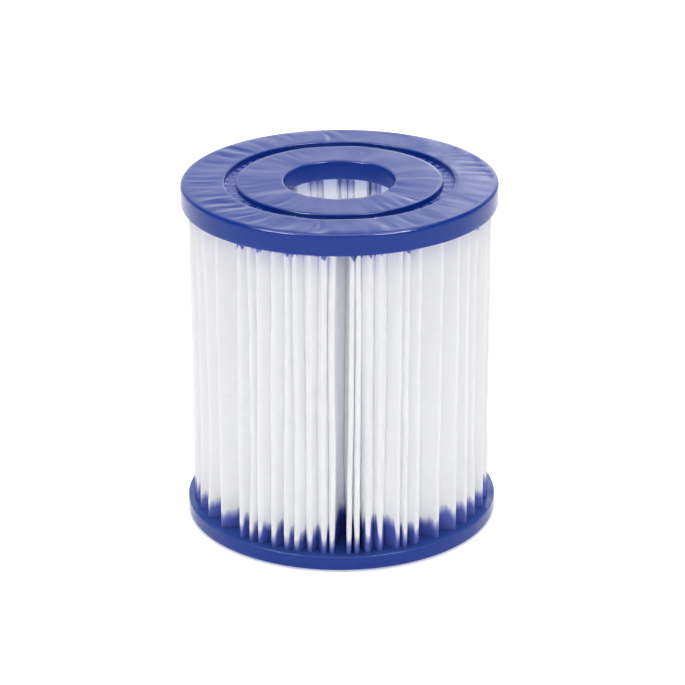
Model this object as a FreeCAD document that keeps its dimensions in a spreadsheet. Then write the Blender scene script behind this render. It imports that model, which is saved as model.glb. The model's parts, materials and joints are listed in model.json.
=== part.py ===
import FreeCAD, Part
import math
import os
import Sketcher
from FreeCAD import Placement, Rotation, Vector

# A potted filter cartridge: two cast end caps, a ring of pleated cloth with one glued
# seam, and a moulded core cage. Millimetres, +Z up along the cartridge's axis, origin at
# the centre of the bottom cap's outer face.

os.makedirs("parts", exist_ok=True)
doc = FreeCAD.newDocument("FilterCartridge")

# ------------------------------------------------------------------ driving dimensions

SIZES = [
    ("height", 90.0, "over both end caps"),
    ("cap_radius", 40.0, "outer wall of both caps"),
    ("bore_radius", 14.0, "through bore of both caps"),
    ("top_cap_thickness", 5.6, "outer face to the level that the casting was poured to"),
    ("bottom_cap_thickness", 4.1, "the same at the bottom, poured thinner"),
    ("cap_edge_round", 0.7, "rounding of the outer wall's free edge"),
    ("bore_edge_round", 0.5, "rounding of the bore's free edge"),
    ("groove_inner", 26.0, "inner radius of the ring groove in a cap's outer face"),
    ("groove_outer", 29.0, "outer radius of the ring groove"),
    ("groove_depth", 1.5, "depth of the ring groove"),
    ("groove_edge_round", 0.3, "rounding of the ring groove's two edges"),
    ("lip_drop", 0.5, "the lip inside the core ends this far short of the pour level"),
    ("core_inner", 15.0, "inner radius of the core cage"),
    ("core_outer", 16.8, "outer radius of the core cage"),
    ("core_seat", 3.0, "a cap's outer face to the end of the core"),
    ("core_end_ring", 2.4, "plain ring at each end of the core"),
    ("core_rib", 2.0, "ring between two rows of windows"),
    ("core_turn", -6.0, "turn of the cage about the axis, in degrees"),
    ("window_rows", 6, "rows of windows up the core"),
    ("window_columns", 12, "windows around the core"),
    ("window_width", 4.8, "width of one window"),
    ("media_seat", 1.5, "a cap's outer face to the end of the cloth"),
    ("media_thickness", 0.5, "thickness of the cloth"),
    ("media_outer", 38.3, "radius over the outer folds"),
    ("media_inner", 16.9, "radius inside the inner folds"),
    ("pleats", 56, "pleats around the ring, with an outer fold on +X and +Y"),
    ("outer_fold", 0.75, "bend radius of an outer fold, to the middle of the cloth"),
    ("inner_fold", 0.45, "bend radius of an inner fold, to the middle of the cloth"),
    ("seam_outer", 36.8, "outer radius of the glue line, just under an outer fold"),
    ("seam_inner", 30.8, "inner radius of the glue line"),
    ("seam_width", 1.3, "glue line before the cloth's two flanks are taken out of it"),
]

sheet = doc.addObject("Spreadsheet::Sheet", "Sizes")
for row, (alias, value, note) in enumerate(SIZES, start=1):
    sheet.set(f"A{row}", note)
    sheet.set(f"B{row}", str(value))
    sheet.setAlias(f"B{row}", alias)
doc.recompute()

# A length that comes from several cells is a dict of cell names and factors, such as
# dict(height=1, media_seat=-2) for the length of the cloth.
ZERO = {}
LIP_LEVEL = {
    "top_cap_thickness": dict(top_cap_thickness=1, lip_drop=-1),
    "bottom_cap_thickness": dict(bottom_cap_thickness=1, lip_drop=-1),
}


def size(alias):
    return float(sheet.get(alias))


def length(cells):
    """The length that a dict of cells stands for."""
    return sum(factor * size(alias) for alias, factor in cells.items())


def formula(cells):
    """The same length as an expression on the sheet."""
    return " + ".join(f"({factor}) * Sizes.{alias}" for alias, factor in cells.items())


# ------------------------------------------------------------------------ small helpers


def new_sketch(body, name, role):
    """A sketch on one of the body's own origin planes, such as XZ_Plane."""
    plane = next(item for item in body.Origin.OriginFeatures if item.Role == role)
    sketch = body.newObject("Sketcher::SketchObject", name)
    sketch.AttachmentSupport = [(plane, "")]
    sketch.MapMode = "FlatFace"
    return sketch


def bind(sketch, constraint, cells):
    """Add a dimension to a sketch and drive it from the sheet."""
    index = sketch.addConstraint(constraint)
    name = f"size_{index}"
    sketch.renameConstraint(index, name)
    sketch.setExpression(f"Constraints.{name}", formula(cells))


def add_polygon(sketch, corners):
    """A closed outline. Each corner is a pair of dicts of cells, for X and for Y."""
    points = [Vector(length(across), length(along), 0) for across, along in corners]
    lines = [
        sketch.addGeometry(Part.LineSegment(start, end), False)
        for start, end in zip(points, points[1:] + points[:1])
    ]
    for line, following in zip(lines, lines[1:] + lines[:1]):
        sketch.addConstraint(Sketcher.Constraint("Coincident", line, 2, following, 1))
    for line, (across, along) in zip(lines, corners):
        for kind, axis, cells in (("DistanceX", -2, across), ("DistanceY", -1, along)):
            if cells:
                distance = Sketcher.Constraint(kind, -1, 1, line, 1, length(cells))
                bind(sketch, distance, cells)
            else:
                on_axis = Sketcher.Constraint("PointOnObject", line, 1, axis)
                sketch.addConstraint(on_axis)


def add_circle(sketch, alias):
    circle = Part.Circle(Vector(0, 0, 0), Vector(0, 0, 1), size(alias))
    index = sketch.addGeometry(circle, False)
    sketch.addConstraint(Sketcher.Constraint("Coincident", index, 3, -1, 1))
    bind(sketch, Sketcher.Constraint("Radius", index, size(alias)), {alias: 1})


def spin(body, kind, name, corners):
    """A full turn of an outline in the XZ plane about Z, added or cut away."""
    sketch = new_sketch(body, f"{name}_outline", "XZ_Plane")
    add_polygon(sketch, corners)
    doc.recompute()
    turned = body.newObject(f"PartDesign::{kind}", name)
    turned.Profile = sketch
    turned.ReferenceAxis = (sketch, ["V_Axis"])
    turned.Angle = 360.0
    sketch.Visibility = False
    doc.recompute()
    return turned


def round_rim(body, base, name, radius_alias, round_alias):
    """Round the circular edge of this radius that lies in the XY plane."""
    radius = size(radius_alias)
    found = [
        f"Edge{number}"
        for number, edge in enumerate(base.Shape.Edges, start=1)
        if isinstance(edge.Curve, Part.Circle)
        and abs(edge.Curve.Radius - radius) < 1e-4
        and abs(edge.BoundBox.ZMin) < 1e-4
        and edge.BoundBox.ZLength < 1e-4
    ]
    fillet = body.newObject("PartDesign::Fillet", name)
    fillet.Base = (base, found)
    fillet.setExpression("Radius", f"Sizes.{round_alias}")
    doc.recompute()
    return fillet


# ----------------------------------------------------------------------- pleated cloth


def polar(radius, angle):
    return Vector(radius * math.cos(angle), radius * math.sin(angle), 0)


def fold_wire(shift):
    """A face of the cloth as a closed wire, this far outward of the cloth's middle."""
    pleats = int(size("pleats"))
    half_step = math.pi / pleats
    outer_bend, inner_bend = size("outer_fold"), size("inner_fold")
    half_cloth = size("media_thickness") / 2
    crest = polar(size("media_outer") - half_cloth - outer_bend, 0)
    root_radius = size("media_inner") + half_cloth + inner_bend
    root = polar(root_radius, half_step)
    # The flank between them is the tangent that crosses from one bend to the other.
    across = root - crest
    lean = math.acos((outer_bend + inner_bend) / across.Length)
    square = polar(1, math.atan2(across.y, across.x) - lean)
    crest_end = crest + square * (outer_bend + shift)
    crest_start = Vector(crest_end.x, -crest_end.y, 0)
    crest_top = crest + Vector(outer_bend + shift, 0, 0)
    root_start = root - square * (inner_bend - shift)
    root_low = polar(root_radius - inner_bend + shift, half_step)
    about_z = Rotation(Vector(0, 0, 1), math.degrees(2 * half_step))
    to_next = Placement(Vector(0, 0, 0), about_z)
    mirrored = polar(root_start.Length, 2 * half_step - math.atan2(root_start.y, root_start.x))
    next_start = to_next.multVec(crest_start)
    pleat = [
        Part.Arc(crest_start, crest_top, crest_end).toShape(),
        Part.LineSegment(crest_end, root_start).toShape(),
        Part.Arc(root_start, root_low, mirrored).toShape(),
        Part.LineSegment(mirrored, next_start).toShape(),
    ]
    edges = []
    for number in range(pleats):
        turn = math.degrees(2 * half_step * number)
        for edge in pleat:
            edges.append(edge.rotated(Vector(0, 0, 0), Vector(0, 0, 1), turn))
    return Part.Wire(edges)


def make_media():
    half_cloth = size("media_thickness") / 2
    wires = [fold_wire(half_cloth), fold_wire(-half_cloth)]
    section = Part.makeFace(wires, "Part::FaceMakerBullseye")
    tall = length(dict(height=1, media_seat=-2))
    media = doc.addObject("Part::Feature", "PleatedMedia")
    media.Label = "pleated_media"
    media.Shape = section.extrude(Vector(0, 0, tall))
    media.Placement = Placement(Vector(0, 0, size("media_seat")), Rotation())
    return media


def make_seam(media):
    """The glue between the two flanks of one pleat at the back, where the strip closes."""
    strip = doc.addObject("Part::Box", "SeamStrip")
    strip.setExpression("Length", "Sizes.seam_width")
    strip.setExpression("Width", "Sizes.seam_outer - Sizes.seam_inner")
    strip.setExpression("Height", formula(dict(height=1, media_seat=-2)))
    strip.setExpression("Placement.Base.x", "-0.5 * Sizes.seam_width")
    strip.setExpression("Placement.Base.y", "Sizes.seam_inner")
    strip.setExpression("Placement.Base.z", "Sizes.media_seat")
    seam = doc.addObject("Part::Cut", "SeamAdhesive")
    seam.Label = "seam_adhesive"
    seam.Base = strip
    seam.Tool = media
    return seam


# ----------------------------------------------------------------------------- the core


def make_core():
    """A moulded tube with rows of windows, standing between the two caps' seats."""
    body = doc.addObject("PartDesign::Body", "Core")
    body.Label = "core"
    ring = new_sketch(body, "core_ring", "XY_Plane")
    add_circle(ring, "core_outer")
    add_circle(ring, "core_inner")
    doc.recompute()
    tube = body.newObject("PartDesign::Pad", "CoreTube")
    tube.Profile = ring
    tube.setExpression("Length", formula(dict(height=1, core_seat=-2)))
    doc.recompute()

    rows = size("window_rows")
    window_height = dict(
        height=1 / rows,
        core_seat=-2 / rows,
        core_end_ring=-2 / rows,
        core_rib=-(rows - 1) / rows,
    )
    sill = dict(core_end_ring=1)
    head = {**window_height, "core_end_ring": 1 + window_height["core_end_ring"]}
    left, right = dict(window_width=-0.5), dict(window_width=0.5)
    outline = new_sketch(body, "window_outline", "XZ_Plane")
    add_polygon(outline, [(left, sill), (right, sill), (right, head), (left, head)])
    doc.recompute()
    window = body.newObject("PartDesign::Pocket", "Window")
    window.Profile = outline
    window.setExpression("Length", "Sizes.core_outer + 1")
    window.Reversed = False
    doc.recompute()

    pattern = body.newObject("PartDesign::MultiTransform", "Windows")
    around = body.newObject("PartDesign::PolarPattern", "WindowColumns")
    around.Axis = (ring, ["N_Axis"])
    around.Angle = 360.0
    around.setExpression("Occurrences", "Sizes.window_columns")
    upward = body.newObject("PartDesign::LinearPattern", "WindowRows")
    upward.Direction = (ring, ["N_Axis"])
    pitch = {**window_height, "core_rib": 1 + window_height["core_rib"]}
    upward.setExpression("Length", f"({formula(pitch)}) * (Sizes.window_rows - 1)")
    upward.setExpression("Occurrences", "Sizes.window_rows")
    pattern.Originals = [window]
    pattern.Transformations = [around, upward]
    body.Tip = pattern
    body.setExpression("Placement.Base.z", "Sizes.core_seat")
    body.setExpression("Placement.Rotation.Angle", "Sizes.core_turn")
    doc.recompute()
    return body


# ------------------------------------------------------------------------- the end caps


def make_cap(name, thickness, media, seam):
    """One casting, outer face down in the XY plane, with the cloth's ends moulded in."""
    lip = LIP_LEVEL[thickness]
    pour = {thickness: 1}
    bore, rim = dict(bore_radius=1), dict(cap_radius=1)
    core_inner, core_outer = dict(core_inner=1), dict(core_outer=1)
    seat = dict(core_seat=1)
    groove_inner, groove_outer = dict(groove_inner=1), dict(groove_outer=1)
    floor = dict(groove_depth=1)

    body = doc.addObject("PartDesign::Body", f"{name}_casting")
    corners = [
        (bore, ZERO),
        (rim, ZERO),
        (rim, pour),
        (core_outer, pour),
        (core_outer, seat),
        (core_inner, seat),
        (core_inner, lip),
        (bore, lip),
    ]
    spin(body, "Revolution", f"{name}_disc", corners)
    corners = [
        (groove_inner, ZERO),
        (groove_outer, ZERO),
        (groove_outer, floor),
        (groove_inner, floor),
    ]
    last = spin(body, "Groove", f"{name}_groove", corners)
    rims = [
        ("cap_radius", "cap_edge_round"),
        ("bore_radius", "bore_edge_round"),
        ("groove_inner", "groove_edge_round"),
        ("groove_outer", "groove_edge_round"),
    ]
    for radius, rounding in rims:
        last = round_rim(body, last, f"{name}_{radius}_round", radius, rounding)
    body.Tip = last
    if thickness == "top_cap_thickness":
        turned_over = Rotation(Vector(1, 0, 0), 180)
        body.Placement = Placement(Vector(0, 0, size("height")), turned_over)
        body.setExpression("Placement.Base.z", "Sizes.height")
    doc.recompute()

    around_cloth = doc.addObject("Part::Cut", f"{name}_around_cloth")
    around_cloth.Base = body
    around_cloth.Tool = media
    cap = doc.addObject("Part::Cut", f"{name}_cap")
    cap.Label = name
    cap.Base = around_cloth
    cap.Tool = seam
    doc.recompute()
    return cap


# ------------------------------------------------------------------------- the assembly

media = make_media()
seam = make_seam(media)
core = make_core()
top_cap = make_cap("top_end_cap", "top_cap_thickness", media, seam)
bottom_cap = make_cap("bottom_end_cap", "bottom_cap_thickness", media, seam)
doc.recompute()

for item in doc.Objects:
    if "Invalid" in item.State or "Error" in item.State:
        raise RuntimeError(f"{item.Label} failed: {item.State}")

for piece in (top_cap, bottom_cap, media, seam, core):
    shape = piece.Shape
    if shape.isNull() or not shape.isValid() or len(shape.Solids) != 1:
        raise RuntimeError(f"{piece.Label} is not one valid solid")
    box = shape.BoundBox
    print(f"{piece.Label}: {shape.Volume / 1000:.2f} cm3, z {box.ZMin:.2f} to {box.ZMax:.2f}")
    shape.exportStep(f"parts/{piece.Label}.step")
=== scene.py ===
import json
import math
import random

import bpy
from mathutils import Matrix, Vector, noise


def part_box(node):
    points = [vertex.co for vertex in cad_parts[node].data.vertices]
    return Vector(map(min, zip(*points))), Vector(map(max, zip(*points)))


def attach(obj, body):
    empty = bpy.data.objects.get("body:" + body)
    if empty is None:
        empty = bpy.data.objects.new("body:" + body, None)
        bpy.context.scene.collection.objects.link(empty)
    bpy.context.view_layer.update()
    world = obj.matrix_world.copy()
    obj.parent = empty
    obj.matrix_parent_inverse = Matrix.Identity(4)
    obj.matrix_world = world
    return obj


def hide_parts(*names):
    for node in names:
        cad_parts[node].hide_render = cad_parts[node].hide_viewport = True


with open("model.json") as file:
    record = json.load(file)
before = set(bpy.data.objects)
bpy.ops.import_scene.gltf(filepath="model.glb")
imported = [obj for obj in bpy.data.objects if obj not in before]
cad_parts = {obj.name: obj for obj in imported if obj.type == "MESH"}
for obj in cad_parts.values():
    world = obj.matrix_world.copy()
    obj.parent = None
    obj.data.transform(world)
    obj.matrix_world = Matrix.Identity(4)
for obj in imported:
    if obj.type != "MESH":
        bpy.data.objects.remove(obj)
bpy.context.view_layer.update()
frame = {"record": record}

# A pleated filter cartridge with two cast caps. Metres, +Z up, the viewer on the -Y side.

MM = 0.001

# ---------------------------------------------------------------- sizes from the frame

top_low, top_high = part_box("top_end_cap")
bottom_low, bottom_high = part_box("bottom_end_cap")
media_low, media_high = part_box("pleated_media")
core_low, core_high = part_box("core")
mounts = {mount["name"]: mount for mount in frame["record"]["mounts"]}

HEIGHT = top_high[2]
CAP_RADIUS = top_high[0]
BORE_RADIUS = mounts["top_bore"]["dims"]["r_mm"] * MM
TOP_POUR = top_high[2] - top_low[2]
BOTTOM_POUR = bottom_high[2] - bottom_low[2]
FOLD_RADIUS = media_high[0]
CORE_OUTER = core_high[0]

# ---------------------------------------------------- sizes that the frame doesn't give

LIP_DROP = 0.5 * MM
LIP_EDGE = 0.2 * MM
CAP_EDGE = 1.0 * MM
BORE_EDGE = 0.5 * MM
GROOVE_INNER = 26.0 * MM
GROOVE_OUTER = 29.0 * MM
GROOVE_DEPTH = 1.5 * MM
GROOVE_EDGE = 0.3 * MM
GROOVE_FILLET = 0.15 * MM
POUR_EDGE = 0.3 * MM
CORE_INNER = 15.0 * MM
CORE_SEAT = core_low[2]
CLOTH = 0.4 * MM
ROOT_RADIUS = CORE_OUTER + 0.15 * MM
CREST_BEND = 0.46 * MM

# ------------------------------------------------------------------------ mesh helpers


def add_piece(name, vertices, faces, material, slot, *replaced):
    """A smooth-shaded piece on the cartridge's only body."""
    mesh = bpy.data.meshes.new(name)
    mesh.from_pydata(vertices, [], faces)
    mesh.polygons.foreach_set("use_smooth", [True] * len(mesh.polygons))
    mesh.update()
    piece = bpy.data.objects.new(name, mesh)
    bpy.context.scene.collection.objects.link(piece)
    mesh.materials.append(material)
    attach(piece, "root")
    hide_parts(*replaced)
    return piece


def grid_faces(rows, columns, start=0, flip=False):
    """Quads between rows of points that each close on themselves."""
    faces = []
    for row in range(rows - 1):
        for column in range(columns):
            following = (column + 1) % columns
            a = start + row * columns + column
            b = start + row * columns + following
            quad = (a, b, b + columns, a + columns)
            faces.append(quad[::-1] if flip else quad)
    return faces


def smooth_step(low, high, value):
    share = min(1.0, max(0.0, (value - low) / (high - low)))
    return share * share * (3.0 - 2.0 * share)


def wander(seed, place):
    """A smooth random curve between about -1 and 1, another one for each seed."""
    return 1.6 * noise.noise(Vector((seed * 3.17 + 0.5, place, seed * 1.31)))


# -------------------------------------------------------------------- material helpers

# Most of a noise texture's values lie between these two.
NOISE_LOW = 0.3
NOISE_HIGH = 0.7


def new_material(name):
    material = bpy.data.materials.new(name)
    material.use_nodes = True
    nodes = material.node_tree.nodes
    return material, nodes, material.node_tree.links, nodes["Principled BSDF"]


def add_node(nodes, kind, **inputs):
    """A node with its named inputs set."""
    node = nodes.new(kind)
    for name, value in inputs.items():
        node.inputs[name].default_value = value
    return node


def feed(links, socket, value):
    """Set a socket to a number, or link it to another node's output."""
    if isinstance(value, (int, float)):
        socket.default_value = value
    else:
        links.new(value, socket)


def math_node(nodes, links, operation, first, second=None):
    """A Math node whose inputs are numbers or other nodes' outputs."""
    node = nodes.new("ShaderNodeMath")
    node.operation = operation
    feed(links, node.inputs[0], first)
    if second is not None:
        feed(links, node.inputs[1], second)
    return node.outputs[0]


def map_range(nodes, links, value, low, high, out_low=0.0, out_high=1.0, smooth=True):
    """From low to high, the value becomes out_low to out_high, and it is held outside."""
    node = nodes.new("ShaderNodeMapRange")
    node.interpolation_type = "SMOOTHSTEP" if smooth else "LINEAR"
    links.new(value, node.inputs["Value"])
    feed(links, node.inputs["From Min"], low)
    feed(links, node.inputs["From Max"], high)
    feed(links, node.inputs["To Min"], out_low)
    feed(links, node.inputs["To Max"], out_high)
    return node.outputs["Result"]


def own_axes(nodes, links, kind="Object"):
    """A place's X, Y and Z as outputs, in the piece's own coordinates or of another kind."""
    split = nodes.new("ShaderNodeSeparateXYZ")
    links.new(nodes.new("ShaderNodeTexCoord").outputs[kind], split.inputs["Vector"])
    return split.outputs


def object_noise(nodes, links, scale=1.0, detail=3.0, stretch=None, roughness=0.5):
    """Noise in the piece's own coordinates. scale and stretch are in cycles per metre."""
    place = nodes.new("ShaderNodeTexCoord").outputs["Object"]
    if stretch:
        mapping = nodes.new("ShaderNodeMapping")
        mapping.inputs["Scale"].default_value = stretch
        links.new(place, mapping.inputs["Vector"])
        place = mapping.outputs["Vector"]
    texture = add_node(nodes, "ShaderNodeTexNoise", Scale=scale, Detail=detail, Roughness=roughness)
    links.new(place, texture.inputs["Vector"])
    return texture.outputs["Fac"]


def add_bump(nodes, links, shader, height, strength, distance):
    bump = add_node(nodes, "ShaderNodeBump", Strength=strength, Distance=distance)
    links.new(height, bump.inputs["Height"])
    links.new(bump.outputs["Normal"], shader.inputs["Normal"])


def vary_gloss(nodes, links, shader, texture, smoothest, roughest):
    """The roughness follows a noise texture."""
    gloss = map_range(nodes, links, texture, NOISE_LOW, NOISE_HIGH, smoothest, roughest)
    links.new(gloss, shader.inputs["Roughness"])


def mix_colours(nodes, links, share, first, second):
    mix = nodes.new("ShaderNodeMix")
    mix.data_type = "RGBA"
    links.new(share, mix.inputs["Factor"])
    for socket, colour in ((mix.inputs["A"], first), (mix.inputs["B"], second)):
        if isinstance(colour, tuple):
            socket.default_value = (*colour, 1.0)
        else:
            links.new(colour, socket)
    return mix.outputs["Result"]


# --------------------------------------------------------------------------- materials

CAST_BLUE = (0.002, 0.032, 0.268)
CAST_BLUE_PALE = (0.005, 0.039, 0.300)
# Painted light: the paler blue of the bottom cap's upward-facing poured ledge.
LEDGE_PAINTED_LIGHT = (0.035, 0.085, 0.350)
STAIN_BLUE = (0.085, 0.125, 0.50)
FILM_BLUE = (0.26, 0.30, 0.60)
END_BLUE = (0.04, 0.07, 0.36)
CLOTH_WHITE = (0.955, 0.96, 0.975)
CLOTH_GREY = (0.925, 0.93, 0.95)
# Painted shade and painted blue bounce light on the cloth just under the upper cap.
PAINTED_SHADE_LAVENDER = (0.70, 0.70, 0.88)
CORE_WHITE = (0.86, 0.87, 0.885)
CORE_GREY = (0.82, 0.83, 0.85)
# A painted reflection of the blue cap on the core's top.
CORE_PAINTED_REFLECTION = (0.58, 0.64, 0.82)
GLUE = (0.80, 0.77, 0.66)
GLUE_DARK = (0.72, 0.68, 0.55)
FLOOR_WHITE = (0.93, 0.93, 0.93)
FLOOR_GLOW = 0.45

CAST_IOR = 1.35
# Where the painted light on the poured ledge starts and where it is full.
POURED_START = BOTTOM_POUR - 0.3 * MM
POURED_FULL = BOTTOM_POUR - 0.1 * MM
CLOTH_SUBSURFACE = 0.5
CLOTH_SCATTER = 1.2 * MM
# How far below the upper cap the painted reflection reaches.
CORE_REFLECTION_HEIGHT = 4.0 * MM
DRY_ROUGHNESS = 0.9
STAINED_ROUGHNESS = 0.5

# The stain at the foot of the cloth. Its height changes from patch to patch.
LOW_PATCH = 2.4 * MM
HIGH_PATCH = 4.9 * MM
# On a fold's crest it keeps this share of its height, more to the far left and right.
CREST_MIDDLE_X = -4.0 * MM
CREST_NEAR = 20.0 * MM
CREST_FAR = 28.0 * MM
CREST_SHARE_NEAR = 0.3
CREST_SHARE_FAR = 0.8
# How far behind the crest the stain starts to climb, and where it is at its full height.
CLIMB_START = 0.25 * MM
CLIMB_END = 1.3 * MM
# It is lower at the far left, and higher just right of the front.
LOW_LEFT_X = -36.0 * MM
FULL_LEFT_X = -24.0 * MM
LOW_LEFT_SHARE = 0.7
FLOODED_X = 6.0 * MM
FLOODED_NEAR = 4.0 * MM
FLOODED_FAR = 12.0 * MM
FLOODED_SHARE = 1.7
# Its edge is ragged by up to this much.
RAGGED = 0.5 * MM
# The stain fades from just below its edge to well above it.
FADE_ABOVE = 2.6 * MM
FADE_BELOW = 0.5 * MM
FADE_POWER = 1.7

# Under the upper cap: spots near the folds' crests, a low stain deep in the pleats.
DEEP_START = 12.0 * MM
DEEP_END = 20.0 * MM
SPOT_START = 0.42
SPOT_FULL = 0.70
SPOT_LEAST = 0.1 * MM
SPOT_MOST = 2.2 * MM
DEEP_SHARE = 0.35
SPOT_FADE = 0.3 * MM
DEEP_FADE = 2.5 * MM
# The painted shade under the upper cap: how far down it reaches, and its strength.
PAINTED_SHADE_HEIGHT = 8.0 * MM
PAINTED_SHADE_SHARE = 0.5
# The cloth's cut ends show in the caps' grooves.
END_START = HEIGHT / 2 - 1.6 * MM
END_FULL = HEIGHT / 2 - 1.5 * MM


def cast_material():
    """Poured blue elastomer: a satin skin, faintly clouded and grained."""
    material, nodes, links, shader = new_material("cast_blue")
    clouds = object_noise(nodes, links, scale=160.0, detail=4.0)
    colour = mix_colours(nodes, links, clouds, CAST_BLUE, CAST_BLUE_PALE)
    # The surface that the bottom cap was poured to is painted paler than the moulded ones: painted
    # light on this upward-facing ledge.
    height = own_axes(nodes, links)["Z"]
    poured = map_range(nodes, links, height, POURED_START, POURED_FULL)
    in_lower_half = math_node(nodes, links, "LESS_THAN", height, HEIGHT / 2)
    poured = math_node(nodes, links, "MULTIPLY", poured, in_lower_half)
    colour = mix_colours(nodes, links, poured, colour, LEDGE_PAINTED_LIGHT)
    links.new(colour, shader.inputs["Base Color"])
    skin = object_noise(nodes, links, scale=420.0)
    vary_gloss(nodes, links, shader, skin, smoothest=0.13, roughest=0.20)
    shader.inputs["IOR"].default_value = CAST_IOR
    grain = object_noise(nodes, links, scale=900.0)
    add_bump(nodes, links, shader, grain, strength=0.06, distance=0.03 * MM)
    return material


def cloth_material():
    """Spun-bonded polyester: matted fibres, stained where the casting soaked into it."""
    material, nodes, links, shader = new_material("filter_cloth")
    axes = own_axes(nodes, links)
    across, height = axes["X"], axes["Z"]
    flat = nodes.new("ShaderNodeCombineXYZ")
    links.new(across, flat.inputs["X"])
    links.new(axes["Y"], flat.inputs["Y"])
    length = nodes.new("ShaderNodeVectorMath")
    length.operation = "LENGTH"
    links.new(flat.outputs["Vector"], length.inputs[0])
    radius = length.outputs["Value"]

    def calc(operation, first, second=None):
        return math_node(nodes, links, operation, first, second)

    # Fibres: long thin strands lying both ways, over soft blotches of thicker cloth.
    strands = object_noise(nodes, links, detail=5.0, stretch=(2600.0, 2600.0, 900.0))
    cross = object_noise(nodes, links, detail=4.0, stretch=(900.0, 900.0, 3000.0))
    fibres = calc("MULTIPLY", strands, cross)
    blotches = object_noise(nodes, links, scale=300.0, detail=4.0, roughness=0.6)
    shade = map_range(nodes, links, blotches, NOISE_LOW, NOISE_HIGH)
    white = mix_colours(nodes, links, shade, CLOTH_GREY, CLOTH_WHITE)

    # The stain is lowest on the crest of a fold and climbs on its flanks.
    depth = calc("SUBTRACT", FOLD_RADIUS, radius)
    aside = calc("ABSOLUTE", calc("SUBTRACT", across, CREST_MIDDLE_X))
    on_crest = map_range(
        nodes, links, aside, CREST_NEAR, CREST_FAR, CREST_SHARE_NEAR, CREST_SHARE_FAR
    )
    behind_crest = map_range(nodes, links, depth, CLIMB_START, CLIMB_END, on_crest, 1.0)
    patches = object_noise(nodes, links, detail=2.0, stretch=(240.0, 240.0, 12.0))
    patch_height = map_range(
        nodes, links, patches, NOISE_LOW, NOISE_HIGH, LOW_PATCH, HIGH_PATCH, smooth=False
    )
    wicked = map_range(nodes, links, across, LOW_LEFT_X, FULL_LEFT_X, LOW_LEFT_SHARE, 1.0)
    beside = calc("ABSOLUTE", calc("SUBTRACT", across, FLOODED_X))
    flooded = map_range(nodes, links, beside, FLOODED_NEAR, FLOODED_FAR, FLOODED_SHARE, 1.0)
    patch_height = calc("MULTIPLY", calc("MULTIPLY", patch_height, wicked), flooded)
    ragged = object_noise(nodes, links, detail=4.0, stretch=(1100.0, 1100.0, 260.0))
    ragged_height = map_range(
        nodes, links, ragged, NOISE_LOW, NOISE_HIGH, -RAGGED, RAGGED, smooth=False
    )
    reach = calc("ADD", calc("MULTIPLY", patch_height, behind_crest), ragged_height)
    above_bottom = calc("SUBTRACT", height, BOTTOM_POUR)
    wet = calc("SUBTRACT", reach, above_bottom)
    dry = map_range(nodes, links, wet, -FADE_ABOVE, FADE_BELOW, 1.0, 0.0, smooth=False)
    bottom_stain = calc("SUBTRACT", 1.0, calc("POWER", dry, FADE_POWER))

    # The upper cap shows in spots on the outside. Below them is painted shade, with painted blue
    # bounce light from the cap.
    inside = map_range(nodes, links, depth, DEEP_START, DEEP_END)
    spots = object_noise(nodes, links, detail=2.0, stretch=(520.0, 520.0, 90.0))
    spot_height = map_range(
        nodes, links, spots, SPOT_START, SPOT_FULL, SPOT_LEAST, SPOT_MOST, smooth=False
    )
    deep_height = calc("MULTIPLY", patch_height, DEEP_SHARE)
    outside_height = calc("MULTIPLY", spot_height, calc("SUBTRACT", 1.0, inside))
    top_reach = calc("ADD", outside_height, calc("MULTIPLY", deep_height, inside))
    below_top = calc("SUBTRACT", HEIGHT - TOP_POUR, height)
    top_wet = calc("SUBTRACT", top_reach, below_top)
    edge = map_range(nodes, links, inside, 0.0, 1.0, -SPOT_FADE, -DEEP_FADE, smooth=False)
    top_stain = map_range(nodes, links, top_wet, edge, SPOT_FADE, smooth=False)
    # Painted shade and blue bounce light from the upper cap, fading downwards.
    painted_cap_shade = map_range(nodes, links, below_top, 0.0, PAINTED_SHADE_HEIGHT, PAINTED_SHADE_SHARE, 0.0)
    white = mix_colours(nodes, links, painted_cap_shade, white, PAINTED_SHADE_LAVENDER)

    stain = calc("MAXIMUM", bottom_stain, top_stain)
    # The cut ends of the cloth show through a thin film in the caps' grooves.
    from_middle = calc("ABSOLUTE", calc("SUBTRACT", height, HEIGHT / 2))
    at_end = map_range(nodes, links, from_middle, END_START, END_FULL)
    blue = mix_colours(nodes, links, inside, STAIN_BLUE, FILM_BLUE)
    blue = mix_colours(nodes, links, at_end, blue, END_BLUE)
    colour = mix_colours(nodes, links, stain, white, blue)
    links.new(colour, shader.inputs["Base Color"])
    gloss = map_range(nodes, links, stain, 0.0, 1.0, DRY_ROUGHNESS, STAINED_ROUGHNESS)
    links.new(gloss, shader.inputs["Roughness"])
    shader.inputs["Subsurface Weight"].default_value = CLOTH_SUBSURFACE
    shader.inputs["Subsurface Radius"].default_value = (1.0, 1.0, 1.0)
    shader.inputs["Subsurface Scale"].default_value = CLOTH_SCATTER
    add_bump(nodes, links, shader, fibres, strength=0.2, distance=0.08 * MM)
    return material


def core_material():
    """Moulded white polypropylene, slightly milky, with a painted blue reflection of the cap above
    near its top.
    """
    material, nodes, links, shader = new_material("core_plastic")
    clouds = object_noise(nodes, links, scale=120.0)
    colour = mix_colours(nodes, links, clouds, CORE_WHITE, CORE_GREY)
    under_cap = HEIGHT - TOP_POUR
    height = own_axes(nodes, links)["Z"]
    # Painted reflection: the core turns blue towards the upper cap.
    painted_reflection = map_range(nodes, links, height, under_cap - CORE_REFLECTION_HEIGHT, under_cap)
    colour = mix_colours(nodes, links, painted_reflection, colour, CORE_PAINTED_REFLECTION)
    links.new(colour, shader.inputs["Base Color"])
    skin = object_noise(nodes, links, scale=700.0)
    vary_gloss(nodes, links, shader, skin, smoothest=0.32, roughest=0.45)
    add_bump(nodes, links, shader, skin, strength=0.1, distance=0.05 * MM)
    return material


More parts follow.
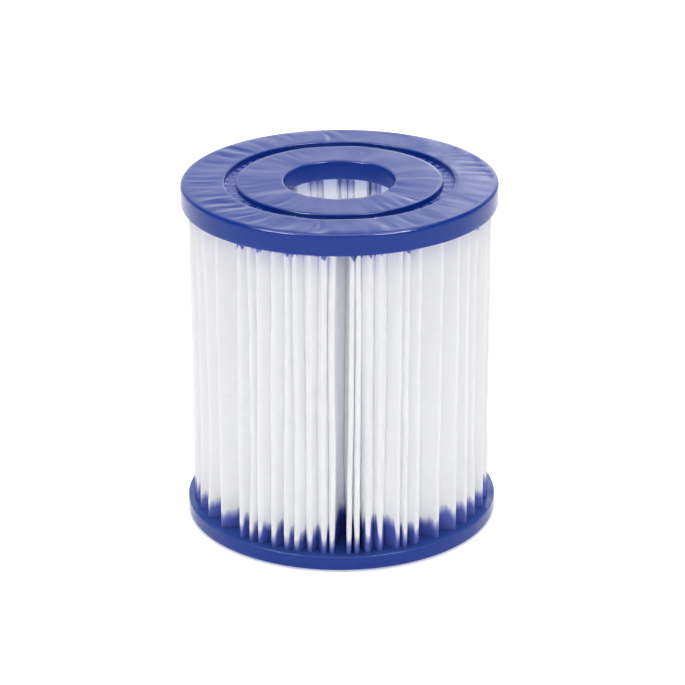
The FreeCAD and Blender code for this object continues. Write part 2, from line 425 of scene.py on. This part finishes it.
def glue_material():
    """Hot melt: cloudy, yellowish and a little uneven."""
    material, nodes, links, shader = new_material("hot_melt")
    clouds = object_noise(nodes, links, scale=500.0)
    colour = mix_colours(nodes, links, clouds, GLUE, GLUE_DARK)
    links.new(colour, shader.inputs["Base Color"])
    vary_gloss(nodes, links, shader, clouds, smoothest=0.2, roughest=0.4)
    add_bump(nodes, links, shader, clouds, strength=0.3, distance=0.1 * MM)
    return material


def floor_material():
    """A lit white sweep: matt, and bright enough to lose nearly all shadow."""
    material, _, _, shader = new_material("studio_floor")
    shader.inputs["Base Color"].default_value = (*FLOOR_WHITE, 1.0)
    shader.inputs["Roughness"].default_value = 0.9
    shader.inputs["Specular IOR Level"].default_value = 0.0
    shader.inputs["Emission Color"].default_value = (1.0, 1.0, 1.0, 1.0)
    shader.inputs["Emission Strength"].default_value = FLOOR_GLOW
    return material


CAST = cast_material()
CLOTH_LOOK = cloth_material()
CORE_LOOK = core_material()
GLUE_LOOK = glue_material()

# ---------------------------------------------------------------------------- end caps

CAP_COLUMNS = 720
FACE_STEPS = 14

# How deep the outer face has sunk and how high its ripples are, in millimetres.
FACE_SINK = 0.12
FINE_RIPPLE = 0.24
FINER_RIPPLE = 0.06
BROAD_WAVE = 0.22
# The ripples bend round the axis by about this many radians.
SWIRL = 0.09
# They come in patches: their mean strength, its swing, and the least of it.
PATCH_MEAN = 0.7
PATCH_SWING = 1.5
PATCH_LEAST = 0.1
# What is left of them beside the bore and beside the groove.
CALM_SHARE = 0.15
# The ripples are gone this far below the face.
RIPPLE_REACH = 1.2 * MM
# The poured surface's level and waves, and the rim's, in millimetres.
POUR_LEVEL = -0.05
POUR_WAVE = 0.10
RIM_INSET = 0.05
RIM_WAVE = 0.06


def corner(centre, radius, start, end, steps):
    """Points round an arc, as (radius from the axis, depth below the outer face)."""
    points = []
    for step in range(steps + 1):
        angle = math.radians(start + (end - start) * step / steps)
        across = centre[0] + radius * math.cos(angle)
        points.append((across, centre[1] + radius * math.sin(angle)))
    return points


def between(start, end, steps):
    """Points from just after start to just before end."""
    shares = [step / steps for step in range(1, steps)]
    return [
        (start[0] + (end[0] - start[0]) * s, start[1] + (end[1] - start[1]) * s)
        for s in shares
    ]


def cap_profile(pour):
    """The casting's section, round from the lip in the bore. Depth 0 is the outer face."""
    lip = pour - LIP_DROP
    bore_corner = corner((BORE_RADIUS + BORE_EDGE, BORE_EDGE), BORE_EDGE, 180, 270, steps=5)
    groove_in = corner(
        (GROOVE_INNER - GROOVE_EDGE, GROOVE_EDGE), GROOVE_EDGE, 270, 360, steps=3
    )
    groove_out = corner(
        (GROOVE_OUTER + GROOVE_EDGE, GROOVE_EDGE), GROOVE_EDGE, 180, 270, steps=3
    )
    rim_corner = corner((CAP_RADIUS - CAP_EDGE, CAP_EDGE), CAP_EDGE, 270, 360, steps=6)
    pour_corner = corner((CAP_RADIUS - POUR_EDGE, pour - POUR_EDGE), POUR_EDGE, 0, 90, steps=3)
    floor_in = (GROOVE_INNER + GROOVE_FILLET, GROOVE_DEPTH)
    floor_out = (GROOVE_OUTER - GROOVE_FILLET, GROOVE_DEPTH)
    wall_in = (GROOVE_INNER, GROOVE_DEPTH - GROOVE_FILLET)
    wall_out = (GROOVE_OUTER, GROOVE_DEPTH - GROOVE_FILLET)
    inner_end = (CORE_OUTER, pour)
    outline = [(BORE_RADIUS, lip - LIP_EDGE)]
    outline += between(outline[0], bore_corner[0], 3) + bore_corner
    outline += between(bore_corner[-1], groove_in[0], FACE_STEPS) + groove_in
    outline += [wall_in, floor_in] + between(floor_in, floor_out, 4) + [floor_out, wall_out]
    outline += groove_out + between(groove_out[-1], rim_corner[0], FACE_STEPS) + rim_corner
    outline += between(rim_corner[-1], pour_corner[0], 5) + pour_corner
    outline += between(pour_corner[-1], inner_end, FACE_STEPS) + [inner_end]
    outline += [(CORE_OUTER, CORE_SEAT), (CORE_INNER, CORE_SEAT), (CORE_INNER, lip)]
    outline += [(BORE_RADIUS + LIP_EDGE, lip)]
    return outline


def face_noise(x, y, radius, around, outward, offset):
    """Noise over the face. around and outward say how fine it is in each direction."""
    return noise.noise(Vector((x * around, y * around, radius * outward + offset)))


def face_sink(radius, angle, seed):
    """How far the outer face has sunk: the casting shrinks over the ends of the pleats."""
    straight = math.cos(angle), math.sin(angle)
    swirl = SWIRL * face_noise(*straight, radius, around=2, outward=110, offset=seed)
    x, y = math.cos(angle + swirl), math.sin(angle + swirl)
    rough = smooth_step(BORE_RADIUS + 4 * MM, GROOVE_OUTER + 3 * MM, radius)
    inside_rim = 1.0 - smooth_step(CAP_RADIUS - 3 * MM, CAP_RADIUS - 0.5 * MM, radius)
    fine = face_noise(x, y, radius, around=11, outward=85, offset=seed)
    finer = face_noise(x, y, radius, around=24, outward=130, offset=3 * seed)
    broad = face_noise(x, y, radius, around=3.3, outward=75, offset=5 * seed)
    strength = face_noise(x, y, radius, around=2.1, outward=50, offset=9 * seed)
    patches = max(PATCH_LEAST, PATCH_MEAN + PATCH_SWING * strength)
    from_groove = max(radius - GROOVE_OUTER, GROOVE_INNER - radius)
    ripple = patches * (FINE_RIPPLE * fine + FINER_RIPPLE * finer)
    ripple *= CALM_SHARE + (1.0 - CALM_SHARE) * rough
    ripple *= CALM_SHARE + (1.0 - CALM_SHARE) * smooth_step(0.0, 3 * MM, from_groove)
    sink = FACE_SINK + inside_rim * (ripple + BROAD_WAVE * broad)
    return max(0.0, sink) * MM


def make_cap(name, node, pour, face_height, upward, seed):
    """A cast cap with its outer face at face_height, facing up or down."""
    outline = cap_profile(pour)
    vertices = []
    for radius, depth in outline:
        near_face = 1.0 - smooth_step(0.0, RIPPLE_REACH, depth)
        on_poured = smooth_step(pour - 0.01 * MM, pour, depth) * (radius > CORE_OUTER)
        for column in range(CAP_COLUMNS):
            angle = 2 * math.pi * column / CAP_COLUMNS
            x, y = math.cos(angle), math.sin(angle)
            sunk = depth
            if near_face > 0.0:
                sunk += near_face * face_sink(radius, angle, seed)
            if on_poured > 0.0:
                level = face_noise(x, y, radius, around=6.0, outward=200, offset=seed)
                sunk += on_poured * (POUR_WAVE * level + POUR_LEVEL) * MM
            out = radius
            if radius > CAP_RADIUS - 0.1 * MM:
                out -= (RIM_INSET + RIM_WAVE * wander(seed, 3.0 * x + 5.0 * y)) * MM
            height = face_height - sunk if upward else face_height + sunk
            vertices.append((out * x, out * y, height))
    faces = grid_faces(len(outline), CAP_COLUMNS, flip=upward)
    last = (len(outline) - 1) * CAP_COLUMNS
    for column in range(CAP_COLUMNS):
        following = (column + 1) % CAP_COLUMNS
        quad = (last + column, last + following, following, column)
        faces.append(quad[::-1] if upward else quad)
    add_piece(name, vertices, faces, CAST, "cast_cap", node)


# ----------------------------------------------------------------------- pleated cloth

# Where the folds that face the viewer stand, in degrees from the front, + to the right.
FRONT_FOLDS = [
    -80, -72, -63.5, -53, -41.5, -36.3, -32.4, -26.3, -20.8, -17, -11.7, -6.5, -2.9, 3.7, 6.5,
    10.6, 14.9, 22.5, 25.6, 30.3, 40.6, 49.6, 56.5, 64.5, 73.5, 82.5,
]
# Folds that stand back from the others between the caps, and how far.
SHY_FOLDS = {-72: 0.5 * MM, -63.5: 0.7 * MM, -36.3: 0.5 * MM, 64.5: 0.6 * MM}
# How far a valley's flanks part just above its bottom, as a share of its depth.
FLARE = 0.04
# Valleys that stand open, by the fold on their left: their extra depth at the foot and at
# the top, how far their bottom lies to the right at the foot and at the top, their flare.
OPEN_VALLEYS = {
    -2.9: ((8.5 * MM, 8.0 * MM), (1.3 * MM, 0.9 * MM), 0.2),
    3.7: ((2.5 * MM, 0.3 * MM), (0.0, 0.0), FLARE),
    6.5: ((4.0 * MM, 0.0), (-0.5 * MM, 0.0), FLARE),
}
PLEATS = 56
SEAM_FOLD = 180.0
# An unseen fold is off its even place by up to this share of a step.
FOLD_SCATTER = 0.17
CLOTH_ROWS = 32
CREST_POINTS = 7
CURVE_POINTS = 5
INNER_POINTS = 2
ROOT_POINTS = 5
TOUCHING_GAP = 0.06 * MM
END_SHOW = 0.08 * MM

# A valley's depth is this share of its width and these millimetres more, which wander.
VALLEY_SHARE = 0.5
VALLEY_MORE = 0.5
VALLEY_WANDER = 0.4
SHALLOWEST = 1.2 * MM
# Its bottom wanders sideways by up to about this share of its width.
SIDEWAYS_WANDER = 0.12
# The last handle of a flank's curve, along the valley, as a share of its depth.
LAST_HANDLE = 0.1

# An outer fold leans to the right with height and wanders, in degrees, and it is pulled
# inward here and there, in millimetres.
LEAN = 1.1
SLOW_DRIFT = 0.5
QUICK_DRIFT = 0.1
PULL = 0.18
PULL_WANDER = 0.22
# A shy fold is in its place up to the first share of the height from a cap, and stands
# back fully from the second on.
HELD_BY_CAP = 0.02
FREE_OF_CAP = 0.3

# The inner folds even out the outer ones' spacing over this many neighbours.
ROOT_SPREAD = 3.5
ROOT_NEIGHBOURS = 6
# Where the room between inner folds is measured, outside ROOT_RADIUS.
ROOT_MIDDLE = 0.8 * MM


def fold_angles():
    """Every outer fold's angle in degrees from the front; the unseen ones nearly even."""
    chance = random.Random(11)
    hidden = PLEATS - len(FRONT_FOLDS)
    first, last = FRONT_FOLDS[0] + 360.0, FRONT_FOLDS[-1]
    before_seam = hidden // 2
    angles = list(FRONT_FOLDS)
    for count, start, end in (
        (before_seam, last, SEAM_FOLD),
        (hidden - before_seam, SEAM_FOLD, first),
    ):
        step = (end - start) / (count + (end == first))
        for number in range(1, count + 1):
            angle = start + step * number
            if abs(angle - SEAM_FOLD) > 0.5 * step:
                angle += chance.uniform(-FOLD_SCATTER, FOLD_SCATTER) * step
            angles.append(angle)
        if end == SEAM_FOLD:
            angles[-1] = SEAM_FOLD
    return angles


def root_angles(folds):
    """The inner folds lie between the outer ones, more evenly, round the core."""
    count = len(folds)
    following = folds[1:] + [folds[0] + 360.0]
    even = [folds[0] + 360.0 * (k + 0.5) / count for k in range(count)]
    middles = [(folds[k] + following[k]) / 2 for k in range(count)]
    roots = []
    for k in range(count):
        total = weight_sum = 0.0
        for shift in range(-ROOT_NEIGHBOURS, ROOT_NEIGHBOURS + 1):
            weight = math.exp(-0.5 * (shift / ROOT_SPREAD) ** 2)
            other = (k + shift) % count
            total += weight * (middles[other] - even[other])
            weight_sum += weight
        roots.append(even[k] + total / weight_sum)
    return roots


def root_bends(roots):
    """Each inner fold is bent as wide as its nearer neighbour leaves room for."""
    count = len(roots)
    steps = [(roots[(k + 1) % count] - roots[k]) % 360.0 for k in range(count)]
    bends = []
    for k in range(count):
        room = math.radians(min(steps[k - 1], steps[k])) * (ROOT_RADIUS + ROOT_MIDDLE)
        bends.append((room - CLOTH - TOUCHING_GAP) / 2)
    return bends


FOLDS = fold_angles()
ROOTS = root_angles(FOLDS)
ROOT_BENDS = root_bends(ROOTS)


def turned(radius, degrees):
    """A point at an angle from the front, + to the right."""
    angle = math.radians(degrees - 90.0)
    return Vector((radius * math.cos(angle), radius * math.sin(angle)))


def fold_centre(number, share):
    """Centre of an outer fold's bend at this share of the height."""
    angle = FOLDS[number]
    if angle == SEAM_FOLD:
        return turned(FOLD_RADIUS - CLOTH / 2 - CREST_BEND, SEAM_FOLD)
    lean = LEAN * (share - 0.5)
    slow = SLOW_DRIFT * wander(number + 1, 2.0 * share)
    quick = QUICK_DRIFT * wander(number + 80, 6.0 * share)
    pull = max(0.0, PULL + PULL_WANDER * wander(number + 160, 1.7 * share)) * MM
    above_foot = smooth_step(HELD_BY_CAP, FREE_OF_CAP, share)
    below_top = smooth_step(HELD_BY_CAP, FREE_OF_CAP, 1 - share)
    pull += SHY_FOLDS.get(angle, 0.0) * above_foot * below_top
    radius = FOLD_RADIUS - CLOTH / 2 - CREST_BEND - pull
    return turned(radius, angle + lean + (slow + quick))


def unit(angle):
    return Vector((math.cos(angle), math.sin(angle)))


def nearest_turn(angle, target):
    """The same direction, within half a turn of target."""
    return angle - 2 * math.pi * round((angle - target) / (2 * math.pi))


def square_to(start, end, bend, turn):
    """Direction square to a flank that touches a bend about start or end."""
    across = end - start
    return math.atan2(across.y, across.x) - turn * math.acos(bend / across.length)


def valley(number, share, crests, root):
    """Where the flanks on the two sides of a valley come to lie on each other."""
    crest, following = crests[number], crests[(number + 1) % len(crests)]
    mouth = (crest + following) / 2
    inward = (root - mouth).normalized()
    width = abs((following - crest).cross(inward))
    more = VALLEY_MORE + VALLEY_WANDER * wander(number + 400, 2.0 * share)
    depth = max(VALLEY_SHARE * width + more * MM, SHALLOWEST)
    flare = FLARE
    sideways = SIDEWAYS_WANDER * width * wander(number + 500, 1.5 * share)
    if FOLDS[number] in OPEN_VALLEYS:
        (deep_foot, deep_top), (right_foot, right_top), flare = OPEN_VALLEYS[FOLDS[number]]
        from_top = (1.0 - share) ** 2
        depth += deep_top + (deep_foot - deep_top) * from_top
        sideways += right_top + (right_foot - right_top) * from_top
    to_right = Vector((inward.y, -inward.x))
    return mouth + inward * depth + to_right * sideways, inward, depth, flare


def flank(crest, root, root_bend, meeting, turn):
    """Directions at the flank's two ends, and its points from the crest to the root."""
    centre, inward, depth, flare = meeting
    to_valley = Vector((inward.y, -inward.x)) * turn
    last = centre - to_valley * (CLOTH + TOUCHING_GAP) / 2
    third = last - inward * LAST_HANDLE * depth - to_valley * flare * depth
    crest_side = square_to(crest, third, CREST_BEND, turn)
    first = crest + unit(crest_side) * CREST_BEND
    second = first.lerp(third, 0.5)
    points = []
    for step in range(1, CURVE_POINTS + 1):
        t = step / CURVE_POINTS
        place = (
            first * (1 - t) ** 3
            + second * 3 * t * (1 - t) ** 2
            + third * 3 * t * t * (1 - t)
            + last * t**3
        )
        slope = (
            (second - first) * (1 - t) ** 2
            + (third - second) * 2 * t * (1 - t)
            + (last - third) * t * t
        ).normalized()
        points.append((place, Vector((slope.y, -slope.x)) * turn))
    root_side = square_to(last, root, root_bend, turn)
    end = root - unit(root_side) * root_bend
    for step in range(1, INNER_POINTS + 1):
        points.append((last.lerp(end, step / (INNER_POINTS + 1)), unit(root_side)))
    return crest_side, root_side, points


def cloth_section(share):
    """The folded cloth's middle line at one height, as pairs of point and outward side."""
    count = len(FOLDS)
    crests = [fold_centre(k, share) for k in range(count)]
    roots = [
        turned(ROOT_RADIUS + CLOTH / 2 + bend, angle) for angle, bend in zip(ROOTS, ROOT_BENDS)
    ]
    meetings = [valley(k, share, crests, roots[k]) for k in range(count)]
    leaving = [flank(crests[k], roots[k], ROOT_BENDS[k], meetings[k], 1) for k in range(count)]
    coming = [
        flank(crests[(k + 1) % count], roots[k], ROOT_BENDS[k], meetings[k], -1)
        for k in range(count)
    ]
    section = []
    for k in range(count):
        crest, root = crests[k], roots[k]
        outward = math.atan2(crest.y, crest.x)
        root_out = math.atan2(root.y, root.x)
        start = nearest_turn(coming[k - 1][0], outward)
        end = nearest_turn(leaving[k][0], outward)
        for step in range(CREST_POINTS):
            side = unit(start + (end - start) * step / (CREST_POINTS - 1))
            section.append((crest + side * CREST_BEND, side))
        section += leaving[k][2]
        leave = nearest_turn(leaving[k][1], root_out)
        arrive = nearest_turn(coming[k][1], root_out)
        for step in range(ROOT_POINTS):
            side = unit(leave + (arrive - leave) * step / (ROOT_POINTS - 1))
            section.append((root - side * ROOT_BENDS[k], side))
        section += coming[k][2][::-1]
    return section


def make_cloth():
    """The folded strip, both its sides and its two cut ends, as one piece."""
    low, high = media_low[2] - END_SHOW, media_high[2] + END_SHOW
    shares = [row / (CLOTH_ROWS - 1) for row in range(CLOTH_ROWS)]
    sections = [cloth_section(share) for share in shares]
    outside, inside = [], []
    for share, section in zip(shares, sections):
        height = low + (high - low) * share
        for point, side in section:
            over, under = point + side * CLOTH / 2, point - side * CLOTH / 2
            outside.append((over.x, over.y, height))
            inside.append((under.x, under.y, height))
    columns = len(sections[0])
    faces = grid_faces(CLOTH_ROWS, columns)
    faces += grid_faces(CLOTH_ROWS, columns, start=len(outside), flip=True)
    for row, flip in ((0, True), (CLOTH_ROWS - 1, False)):
        for column in range(columns):
            following = (column + 1) % columns
            a = row * columns + column
            b = row * columns + following
            quad = (a, b, b + len(outside), a + len(outside))
            faces.append(quad[::-1] if flip else quad)
    vertices = outside + inside
    piece = add_piece(
        "pleated_cloth", vertices, faces, CLOTH_LOOK, "filter_cloth", "pleated_media"
    )


# ------------------------------------------------------------------------- seam's glue

SEAM_ROWS = 12


def make_seam():
    """The hot melt between the two flanks of the fold at the back."""
    per_pleat = CREST_POINTS + ROOT_POINTS + 2 * (CURVE_POINTS + INNER_POINTS)
    first = FOLDS.index(SEAM_FOLD) * per_pleat
    coming = [first - 1 - step for step in range(CURVE_POINTS)]
    leaving = [first + CREST_POINTS + step for step in range(CURVE_POINTS)]
    vertices = []
    for row in range(SEAM_ROWS):
        share = row / (SEAM_ROWS - 1)
        height = media_low[2] + (media_high[2] - media_low[2]) * share
        section = cloth_section(share)
        for index in coming + leaving[::-1]:
            place, facing = section[index]
            point = place - facing * CLOTH / 2
            vertices.append((point.x, point.y, height))
    around = 2 * CURVE_POINTS
    faces = grid_faces(SEAM_ROWS, around)
    faces.append(tuple(range(around))[::-1])
    faces.append(tuple(around * (SEAM_ROWS - 1) + i for i in range(around)))
    add_piece("seam_glue", vertices, faces, GLUE_LOOK, "hot_melt", "seam_adhesive")


# -------------------------------------------------------------------------------- core

WINDOW_COLUMNS = 12
WINDOW_ROWS = 6
WINDOW_WIDTH = 4.8 * MM
CORE_END_RING = 2.4 * MM
CORE_RIB = 2.0 * MM
CORE_TURN = 174.0
CORE_STEPS = 4
CORE_EASE = 0.22 * MM


def make_core():
    """A moulded cage: a skin with its windows left out, thickened, its edges eased."""
    middle = (CORE_INNER + CORE_OUTER) / 2
    half_window = math.degrees(math.asin(WINDOW_WIDTH / 2 / middle))
    pitch = 360.0 / WINDOW_COLUMNS
    bar = pitch - 2 * half_window
    # Each angle or level, and whether windows lie between it and the next.
    angles = []
    for column in range(WINDOW_COLUMNS):
        centre = CORE_TURN + column * pitch
        for step in range(CORE_STEPS):
            angles.append((centre - half_window + 2 * half_window * step / CORE_STEPS, True))
        for step in range(CORE_STEPS):
            angles.append((centre + half_window + bar * step / CORE_STEPS, False))
    length = core_high[2] - core_low[2]
    window = (length - 2 * CORE_END_RING - (WINDOW_ROWS - 1) * CORE_RIB) / WINDOW_ROWS
    levels = [(core_low[2], False)]
    height = core_low[2] + CORE_END_RING
    for row in range(WINDOW_ROWS):
        levels += [(height, True), (height + window / 2, True), (height + window, False)]
        height += window + CORE_RIB
    levels.append((core_high[2], False))
    vertices = []
    for height, _ in levels:
        for angle, _ in angles:
            spot = turned(middle, angle)
            vertices.append((spot.x, spot.y, height))
    columns = len(angles)
    faces = []
    for row in range(len(levels) - 1):
        for column in range(columns):
            if levels[row][1] and angles[column][1]:
                continue
            following = (column + 1) % columns
            a, b = row * columns + column, row * columns + following
            faces.append((a, b, b + columns, a + columns))
    piece = add_piece("core_cage", vertices, faces, CORE_LOOK, "core_plastic", "core")
    solid = piece.modifiers.new("wall", "SOLIDIFY")
    solid.thickness = CORE_OUTER - CORE_INNER
    solid.offset = 0.0
    solid.use_even_offset = True
    edges = piece.modifiers.new("eased_edges", "BEVEL")
    edges.width = CORE_EASE
    edges.segments = 2
    edges.limit_method = "ANGLE"
    edges.angle_limit = math.radians(40)


make_cap("top_cap_cast", "top_end_cap", TOP_POUR, HEIGHT, upward=True, seed=1.0)
make_cap("bottom_cap_cast", "bottom_end_cap", BOTTOM_POUR, 0.0, upward=False, seed=2.0)
make_core()
make_cloth()
make_seam()

# ------------------------------------------------------------------------------- stage

GLOW_LEVELS = 5
GLOW_POWER = 0.009
GLOW_SIZE = 5.0 * MM
FLOOR_REACH = 4.0
# Just below the bottom cap, so that the floor and its face don't lie in one plane.
FLOOR_LEVEL = -0.02 * MM

CAMERA_DISTANCE = 0.750
CAMERA_ELEVATION = 22.66
CAMERA_ROLL = -0.34
CAMERA_AIM = Vector((0.5 * MM, 0.0, HEIGHT / 2 + 0.5 * MM))
SENSOR = 36.0
LENS = 153.5124


def make_floor():
    signs = ((-1, -1), (1, -1), (1, 1), (-1, 1))
    corners = [(x * FLOOR_REACH, y * FLOOR_REACH, FLOOR_LEVEL) for x, y in signs]
    mesh = bpy.data.meshes.new("studio_floor")
    mesh.from_pydata(corners, [], [(0, 1, 2, 3)])
    floor = bpy.data.objects.new("studio_floor", mesh)
    bpy.context.scene.collection.objects.link(floor)
    mesh.materials.append(floor_material())


def add_light(name, place, width, height, energy, only_gloss=False):
    """A soft box that faces the cartridge's middle."""
    light = bpy.data.lights.new(name, "AREA")
    light.shape = "RECTANGLE"
    light.size = width
    light.size_y = height
    light.energy = energy
    lamp = bpy.data.objects.new(name, light)
    lamp.location = place
    aim = Vector((0, 0, HEIGHT / 2)) - Vector(place)
    lamp.rotation_euler = aim.to_track_quat("-Z", "Y").to_euler()
    lamp.visible_diffuse = not only_gloss
    bpy.context.scene.collection.objects.link(lamp)


def add_inner_glow():
    """The light that comes through the cloth and fills the core."""
    for level in range(GLOW_LEVELS):
        light = bpy.data.lights.new("inner_glow", "POINT")
        light.shadow_soft_size = GLOW_SIZE
        light.energy = GLOW_POWER / GLOW_LEVELS
        lamp = bpy.data.objects.new("inner_glow", light)
        lamp.location = (0, 0, HEIGHT * (level + 0.5) / GLOW_LEVELS)
        lamp.visible_camera = lamp.visible_glossy = False
        bpy.context.scene.collection.objects.link(lamp)


def make_world():
    """A white room: dim overhead and at its two sides, brightest behind the viewer."""
    world = bpy.data.worlds.new("studio")
    bpy.context.scene.world = world
    world.use_nodes = True
    nodes, links = world.node_tree.nodes, world.node_tree.links
    # The direction of the light: Z is 1 overhead, and Y is 1 behind the cartridge.
    axes = own_axes(nodes, links, kind="Generated")
    beside = math_node(nodes, links, "ABSOLUTE", axes["X"])
    low_down = map_range(nodes, links, axes["Z"], low=0.17, high=0.60, out_low=1.0, out_high=0.32)
    behind = map_range(nodes, links, axes["Y"], low=-0.3, high=0.7, out_low=0.84)
    sides = map_range(nodes, links, beside, low=0.25, high=0.95, out_low=1.0, out_high=0.38)
    ahead = map_range(nodes, links, axes["Y"], low=-0.95, high=-0.6, out_low=1.2)
    brightness = low_down
    for share in (behind, sides, ahead):
        brightness = math_node(nodes, links, "MULTIPLY", brightness, share)
    links.new(brightness, nodes["Background"].inputs["Strength"])
    nodes["Background"].inputs["Color"].default_value = (1.0, 1.0, 1.0, 1.0)


def make_camera():
    elevation = math.radians(CAMERA_ELEVATION)
    data = bpy.data.cameras.new("camera")
    data.sensor_width = SENSOR
    data.lens = LENS
    data.clip_start, data.clip_end = 0.01, 20.0
    camera = bpy.data.objects.new("camera", data)
    back = Vector((0, -math.cos(elevation), math.sin(elevation)))
    camera.location = CAMERA_AIM + back * CAMERA_DISTANCE
    facing = (-back).to_track_quat("-Z", "Y").to_matrix()
    roll = Matrix.Rotation(math.radians(CAMERA_ROLL), 3, "Z")
    camera.rotation_euler = (facing @ roll).to_euler()
    bpy.context.scene.collection.objects.link(camera)
    bpy.context.scene.camera = camera


make_floor()
make_world()
add_light("overhead", (0.0, 0.25, 2.2), width=2.0, height=2.0, energy=50.0)
# These four light only the gloss: a wall and a window behind, and a strip on each side.
add_light("back_wall", (0.0, 1.85, 0.82), width=2.4, height=1.1, energy=4.0, only_gloss=True)
add_light("back_window", (0.34, 1.80, 0.82), width=0.5, height=1.0, energy=1.6, only_gloss=True)
for name, place in (
    ("left_rim_light", (-0.62, -0.42, 0.95)),
    ("right_rim_light", (0.52, -0.46, 0.95)),
):
    add_light(name, place, width=0.45, height=0.1, energy=18.0, only_gloss=True)
add_inner_glow()
make_camera()
scene = bpy.context.scene
scene.view_settings.view_transform = "Standard"
# The light in the pleats has bounced between white walls many times.
scene.cycles.max_bounces = 24
scene.cycles.diffuse_bounces = 16
